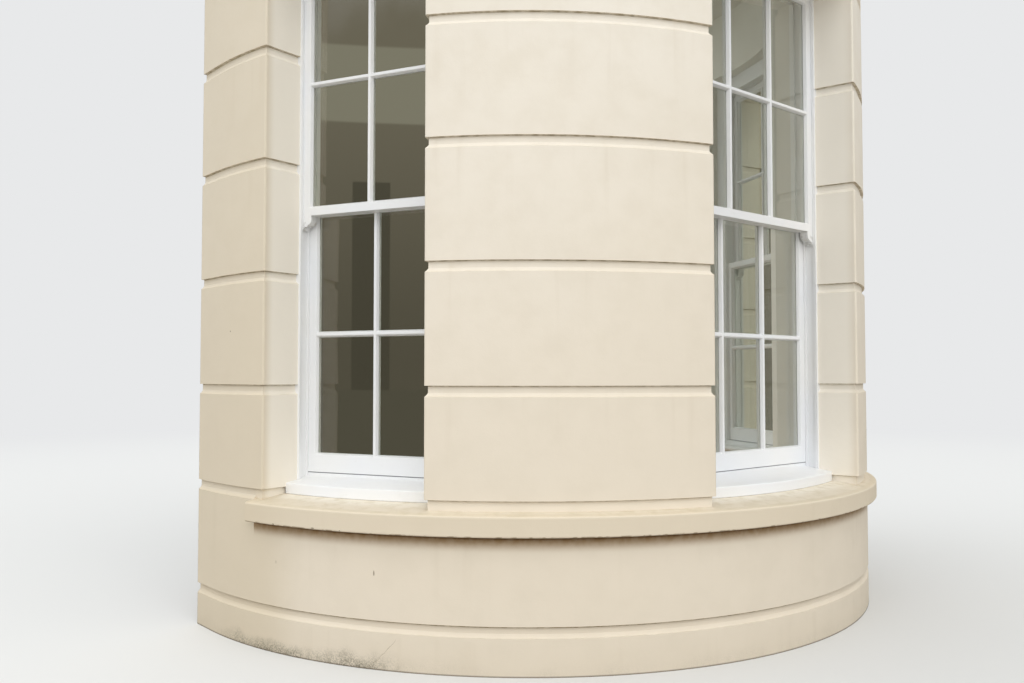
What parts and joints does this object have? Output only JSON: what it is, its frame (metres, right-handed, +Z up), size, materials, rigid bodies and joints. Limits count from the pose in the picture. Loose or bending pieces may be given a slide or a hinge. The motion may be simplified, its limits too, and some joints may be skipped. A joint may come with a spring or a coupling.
{
  "type": "bay window",
  "caption": "Half-round bay of banded stucco on a curved apron wall, with sliding sash windows on three sides, a moulded cornice and a lead flat.",
  "frame": {"origin": "centre of the bay's own box at ground level; the circle of the wall has its centre 0.8605 m behind it", "axes": "+Z up from the ground, the front faces -Y, the back plane that meets the house wall faces +Y, +X to the right seen from the front"},
  "size_m": [3.712, 1.991, 3.419],
  "materials": {
    "stucco": "painted stucco, matt",
    "white_paint": "white gloss paint on softwood",
    "glass": "clear drawn glass",
    "lead": "weathered sheet lead",
    "timber": "sawn softwood",
    "plaster": "smooth plaster"
  },
  "bodies": {
    "root": {"apron_left": "stucco", "apron_centre": "stucco", "apron_right": "stucco", "sill_course_left": "stucco", "sill_course_centre": "stucco", "sill_course_right": "stucco", "end_pier_left": "stucco", "mid_pier_left": "stucco", "mid_pier_right": "stucco", "end_pier_right": "stucco", "head_course_left": "stucco", "head_course_centre": "stucco", "head_course_right": "stucco", "cornice_left": "stucco", "cornice_centre": "stucco", "cornice_right": "stucco", "lead_roof": "lead", "roof_boards": "timber", "roof_joists": "timber", "roof_beam": "timber", "ceiling": "plaster", "floor_boards": "timber", "floor_joists": "timber", "floor_beam": "timber", "skirting": "white_paint", "window_frame_left": "white_paint", "timber_sill_left": "white_paint", "upper_sash_left": "white_paint", "lower_sash_left": "white_paint", "glass_left": "glass", "window_board_left": "white_paint", "window_frame_centre": "white_paint", "timber_sill_centre": "white_paint", "upper_sash_centre": "white_paint", "lower_sash_centre": "white_paint", "glass_centre": "glass", "window_board_centre": "white_paint", "window_frame_right": "white_paint", "timber_sill_right": "white_paint", "upper_sash_right": "white_paint", "lower_sash_right": "white_paint", "glass_right": "glass", "window_board_right": "white_paint"}
  },
  "joints": []
}
